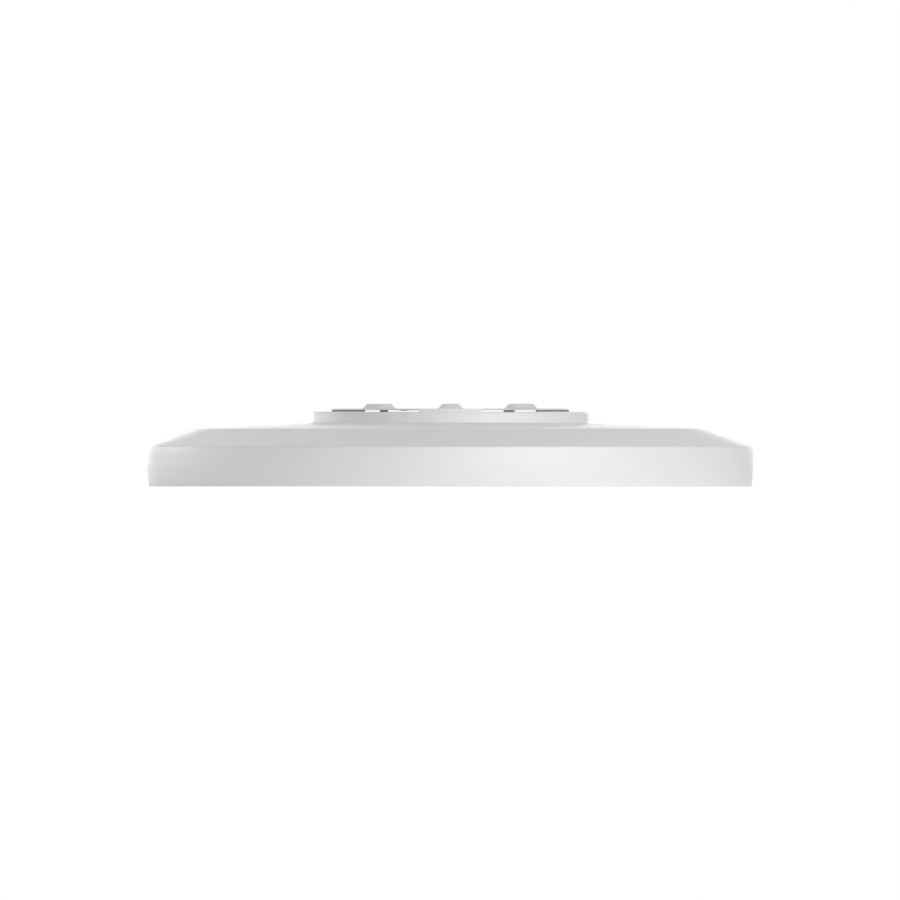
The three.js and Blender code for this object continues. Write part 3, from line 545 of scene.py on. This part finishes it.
def new_material(name):
    """A material with its nodes, links and shader."""
    material = bpy.data.materials.new(name)
    material.use_nodes = True
    nodes = material.node_tree.nodes
    return material, nodes, material.node_tree.links, nodes["Principled BSDF"]


def speckle(nodes, links, scale, detail=3.0):
    """Noise in the object's own coordinates. scale is in speckles per metre."""
    place = nodes.new("ShaderNodeTexCoord")
    noise = nodes.new("ShaderNodeTexNoise")
    noise.inputs["Scale"].default_value = scale
    noise.inputs["Detail"].default_value = detail
    links.new(place.outputs["Object"], noise.inputs["Vector"])
    return noise


def ranged(nodes, links, value, before, after, interpolation="LINEAR"):
    """The value, mapped from one range to another and kept within it."""
    mapping = nodes.new("ShaderNodeMapRange")
    mapping.interpolation_type = interpolation
    for socket, number in zip(("From Min", "From Max", "To Min", "To Max"), (*before, *after)):
        mapping.inputs[socket].default_value = number
    links.new(value, mapping.inputs["Value"])
    return mapping.outputs["Result"]


def spread(nodes, links, noise, low, high):
    """The noise, spread between two values."""
    return ranged(nodes, links, noise.outputs["Fac"], NOISE_SPAN, (low, high))


def tint(nodes, links, noise, colour, vary, target):
    """Lets a colour wander a little, from slightly darker to slightly lighter."""
    ramp = nodes.new("ShaderNodeValToRGB")
    for end, place, factor in zip(ramp.color_ramp.elements, NOISE_SPAN, (1 - vary, 1 + vary)):
        end.position = place
        end.color = (*[min(1, c * factor) for c in colour], 1)
    links.new(noise.outputs["Fac"], ramp.inputs["Fac"])
    links.new(ramp.outputs["Color"], target)


def grain(nodes, links, shader, noise, height, round_edges=0.0):
    """Bump of that height in metres, over edges rounded by that radius in metres."""
    bump = nodes.new("ShaderNodeBump")
    bump.inputs["Strength"].default_value = 1.0
    bump.inputs["Distance"].default_value = height
    links.new(noise.outputs["Fac"], bump.inputs["Height"])
    if round_edges:
        edge = nodes.new("ShaderNodeBevel")
        edge.samples = 4
        edge.inputs["Radius"].default_value = round_edges
        links.new(edge.outputs["Normal"], bump.inputs["Normal"])
    links.new(bump.outputs["Normal"], shader.inputs["Normal"])


def surface(name, colour, roughness, vary=0.02, scale=4000, height=2e-6, metallic=0.0, edges=0.0):
    """A solid-coloured finish with a fine grain, and gloss and tone that wander slightly."""
    material, nodes, links, shader = new_material(name)
    fine = speckle(nodes, links, scale)
    broad = speckle(nodes, links, scale / BROADER, 2)
    tint(nodes, links, broad, colour, vary, shader.inputs["Base Color"])
    low, high = (roughness * factor for factor in SURFACE_GLOSS)
    links.new(spread(nodes, links, broad, low, high), shader.inputs["Roughness"])
    shader.inputs["Metallic"].default_value = metallic
    shader.inputs["IOR"].default_value = PLASTIC_IOR
    grain(nodes, links, shader, fine, height, edges)
    return material


def brushed(name, colour, roughness, direction, scale=400, vary=0.08, height=1.5e-6, edges=1e-4):
    """Metal with fine parallel brush lines."""
    material, nodes, links, shader = new_material(name)
    place = nodes.new("ShaderNodeTexCoord")
    stretch = nodes.new("ShaderNodeMapping")
    stretch.inputs["Scale"].default_value = direction
    noise = nodes.new("ShaderNodeTexNoise")
    noise.inputs["Scale"].default_value = scale
    noise.inputs["Detail"].default_value = 4
    links.new(place.outputs["Object"], stretch.inputs["Vector"])
    links.new(stretch.outputs["Vector"], noise.inputs["Vector"])
    tint(nodes, links, noise, colour, vary, shader.inputs["Base Color"])
    low, high = (roughness * factor for factor in BRUSHED_GLOSS)
    links.new(spread(nodes, links, noise, low, high), shader.inputs["Roughness"])
    shader.inputs["Metallic"].default_value = 1.0
    grain(nodes, links, shader, noise, height, edges)
    return material


def dress(piece, material):
    piece.data.materials.clear()
    piece.data.materials.append(material)


def stand_for(piece, body, node):
    """Lets a piece replace a CAD node and ride on that node's body."""
    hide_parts(node)
    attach(piece, body)


WHITE = (0.8, 0.8, 0.8)
COAT_WHITE = (0.77, 0.77, 0.77)
SOCKET_BLACK = (0.012, 0.012, 0.013)
CASE = surface("case_plastic", WHITE, 0.4, vary=0.006, scale=3500, height=2.5e-6, edges=1e-4)
COAT = surface("powder_coated_steel", COAT_WHITE, 0.5, vary=0.01, scale=2200, height=6e-6, edges=1.5e-4)
RUBBER = surface("damper_rubber", (0.11, 0.11, 0.11), 0.75, vary=0.15, scale=2500, height=8e-6)
LABEL = surface("label_film", (0.7, 0.71, 0.72), 0.45, vary=0.01, scale=5000, height=1e-6)
CLEAR = surface("clear_plastic", (0.85, 0.89, 0.92), 0.12, vary=0.01, scale=2000, height=1e-6)
BOARD = surface("solder_mask", (0.02, 0.12, 0.05), 0.35, vary=0.25, scale=9000, height=4e-6)
ALUMINIUM = brushed("brushed_aluminium", (0.72, 0.73, 0.74), 0.35, (1, 30, 1))
TIN = brushed("bright_tin", (0.74, 0.75, 0.74), 0.28, (30, 1, 1))
EPOXY = surface("moulded_epoxy", (0.012, 0.012, 0.014), 0.5, vary=0.2, scale=6000, height=4e-6, edges=1e-4)
SOCKET = surface("socket_plastic", SOCKET_BLACK, 0.42, vary=0.15, scale=5000, height=2e-6, edges=1e-4)
SILICONE = surface("thermal_silicone", (0.25, 0.3, 0.38), 0.85, vary=0.06, scale=3000, height=8e-6)
GOLD = surface("gold_plate", (0.85, 0.6, 0.24), 0.22, vary=0.03, scale=4000, height=1e-6, metallic=1.0)
ZINC = surface("zinc_plate", (0.55, 0.55, 0.54), 0.32, vary=0.06, scale=3000, height=2e-6, metallic=1.0)
BUTTON = surface("button_plastic", (0.18, 0.19, 0.2), 0.45, vary=0.03, scale=4000, height=2e-6, edges=2e-4)

# Finishes of the CAD nodes that are kept, by a part of their names.
NODE_FINISHES = {
    "rear_label": LABEL,
    "light_pipe": CLEAR,
    "status_led": CLEAR,
    "damper": RUBBER,
    "main_board": BOARD,
    "heat_sink": ALUMINIUM,
    "capacitor": ALUMINIUM,
    "shield": TIN,
    "antenna": TIN,
    "dc_socket_pin": TIN,
    "chip": EPOXY,
    "reset_switch": EPOXY,
    "poe_transformer": EPOXY,
    "power_inductor": EPOXY,
    "thermal_pad": SILICONE,
    "ethernet_body": SOCKET,
    "dc_socket_body": SOCKET,
    "ethernet_contacts": GOLD,
    "reset_button": BUTTON,
}


def finish_cad_nodes():
    """Gives the kept CAD nodes their materials and smooth shading."""
    for name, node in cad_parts.items():
        for part_of_name, material in NODE_FINISHES.items():
            if part_of_name in name:
                dress(node, material)
                soften(node)


# ---------- Stage, in metres ----------

FLOOR_LEVEL = -0.05 * MM
FLOOR_FADE = 0.4  # radius where the floor starts to fade
FLOOR_END = 1.8  # and where it has faded out
FLOOR_GREY = (0.62, 0.62, 0.62)
FLOOR_GLOW = 0.37
LIGHT_DISTANCE = 3.0
LIGHT_AIM = 0.015  # height that the lights face
CAMERA_X = -0.1 * MM
CAMERA_Y = -1.2
AIM_HEIGHT = 13.22 * MM  # what the camera has in the middle of its view
FRAME_WIDTH = 326.84 * MM

# Parts of the world, as ranges of its unit directions: X is to the right and Z is up.
LEFT_TO_RIGHT = (-0.3, 0.3)
NEAR_HORIZON = (0, 0.12)
UNDER_HORIZON = (-0.03, -0.01)


def studio_floor():
    """A pale floor that fades into the backdrop around it."""
    mesh = bmesh.new()
    bmesh.ops.create_circle(mesh, cap_ends=True, segments=96, radius=FLOOR_END)
    floor = new_piece("studio_floor", mesh)
    floor.location.z = FLOOR_LEVEL
    pale = surface("pale_floor", FLOOR_GREY, 0.6, vary=0.004, scale=300, height=1e-5)
    nodes, links = pale.node_tree.nodes, pale.node_tree.links
    shader = nodes["Principled BSDF"]
    shader.inputs["Emission Color"].default_value = (1, 1, 1, 1)
    shader.inputs["Emission Strength"].default_value = FLOOR_GLOW
    shader.inputs["Specular IOR Level"].default_value = 0
    place = nodes.new("ShaderNodeTexCoord")
    length = nodes.new("ShaderNodeVectorMath")
    length.operation = "LENGTH"
    links.new(place.outputs["Object"], length.inputs[0])
    fade = ranged(nodes, links, length.outputs["Value"], (FLOOR_FADE, FLOOR_END), (1, 0), "SMOOTHSTEP")
    links.new(fade, shader.inputs["Alpha"])
    dress(floor, pale)


def softbox(name, azimuth, elevation, width, height, power):
    """A soft area light that faces the object. Azimuth is counted from the front, positive to the right."""
    data = bpy.data.lights.new(name, "AREA")
    data.shape = "RECTANGLE"
    data.size = width
    data.size_y = height
    data.energy = power
    light = bpy.data.objects.new(name, data)
    a, e = math.radians(azimuth), math.radians(elevation)
    out = Vector((math.sin(a) * math.cos(e), -math.cos(a) * math.cos(e), math.sin(e)))
    light.location = out * LIGHT_DISTANCE + Vector((0, 0, LIGHT_AIM))
    light.rotation_euler = (-out).to_track_quat("-Z", "Y").to_euler()
    light.visible_camera = False
    bpy.context.scene.collection.objects.link(light)


def backdrop(soft, left, right, high, ground):
    """The world. The camera sees white above the horizon and the ground's level below it.

    It lights the object softly. The object's gloss shows other levels: left and right near the
    horizon, and high above it.
    """
    world = bpy.data.worlds.new("studio")
    bpy.context.scene.world = world
    world.use_nodes = True
    nodes, links = world.node_tree.nodes, world.node_tree.links
    rays = nodes.new("ShaderNodeLightPath")
    direction = nodes.new("ShaderNodeTexCoord")
    parts = nodes.new("ShaderNodeSeparateXYZ")
    links.new(direction.outputs["Generated"], parts.inputs["Vector"])
    mirrored = nodes.new("ShaderNodeMix")
    links.new(ranged(nodes, links, parts.outputs["Z"], NEAR_HORIZON, (0, 1)), mirrored.inputs["Factor"])
    links.new(ranged(nodes, links, parts.outputs["X"], LEFT_TO_RIGHT, (left, right)), mirrored.inputs["A"])
    mirrored.inputs["B"].default_value = high
    level = nodes.new("ShaderNodeMix")
    level.inputs["A"].default_value = soft
    links.new(mirrored.outputs["Result"], level.inputs["B"])
    links.new(rays.outputs["Is Glossy Ray"], level.inputs["Factor"])
    lit = nodes.new("ShaderNodeBackground")
    lit.inputs["Color"].default_value = (1, 1, 1, 1)
    links.new(level.outputs["Result"], lit.inputs["Strength"])
    seen = nodes["Background"]
    seen.inputs["Color"].default_value = (1, 1, 1, 1)
    links.new(ranged(nodes, links, parts.outputs["Z"], UNDER_HORIZON, (ground, 1)), seen.inputs["Strength"])
    mix = nodes.new("ShaderNodeMixShader")
    links.new(rays.outputs["Is Camera Ray"], mix.inputs["Fac"])
    links.new(lit.outputs["Background"], mix.inputs[1])
    links.new(seen.outputs["Background"], mix.inputs[2])
    links.new(mix.outputs["Shader"], nodes["World Output"].inputs["Surface"])


def side_camera():
    """A level camera with no perspective, straight in front of the object."""
    data = bpy.data.cameras.new("camera")
    data.type = "ORTHO"
    data.ortho_scale = FRAME_WIDTH
    camera = bpy.data.objects.new("camera", data)
    camera.location = (CAMERA_X, CAMERA_Y, AIM_HEIGHT)
    camera.rotation_euler = (math.radians(90), 0, 0)
    bpy.context.scene.collection.objects.link(camera)
    bpy.context.scene.camera = camera


# ---------- Making ----------

side_camera()
backdrop(soft=0.2, left=1.1, right=0.3, high=1.05, ground=0.69)
studio_floor()

# name, azimuth, elevation, width, height, power
SOFTBOXES = (
    ("front", 16, 5, 2.4, 0.5, 25.5),
    ("right", 45, 5, 2.4, 0.5, 27),
    ("left", -117, 5, 3.0, 0.5, 19),
    ("back", -177, 5, 2.4, 0.5, 18),
    ("high_back_left", -150, 38, 1.5, 1.1, 6),
    ("overhead", 0, 90, 1.5, 1.2, 18),
)
for box in SOFTBOXES:
    softbox(*box)

bpy.context.scene.view_settings.view_transform = "Standard"

cover = front_cover()
dress(cover, CASE)
stand_for(cover, "housing", "front_cover")

housing = rear_housing()
dress(housing, CASE)
stand_for(housing, "housing", "rear_housing")

bracket = mounting_bracket()
dress(bracket, COAT)
stand_for(bracket, "bracket", "mounting_bracket")

place_screws("case_screw", CASE_SCREWS, ZINC, head_r=2.8, head_h=2.2, shank_r=1.5, length=7.6)
place_screws("heat_sink_screw", HEAT_SINK_SCREWS, ZINC, head_r=2.5, head_h=1.8, shank_r=1.25, length=9.6)
place_screws("board_screw", BOARD_SCREWS, ZINC, head_r=2.5, head_h=1.8, shank_r=1.25, length=4.8)
finish_cad_nodes()
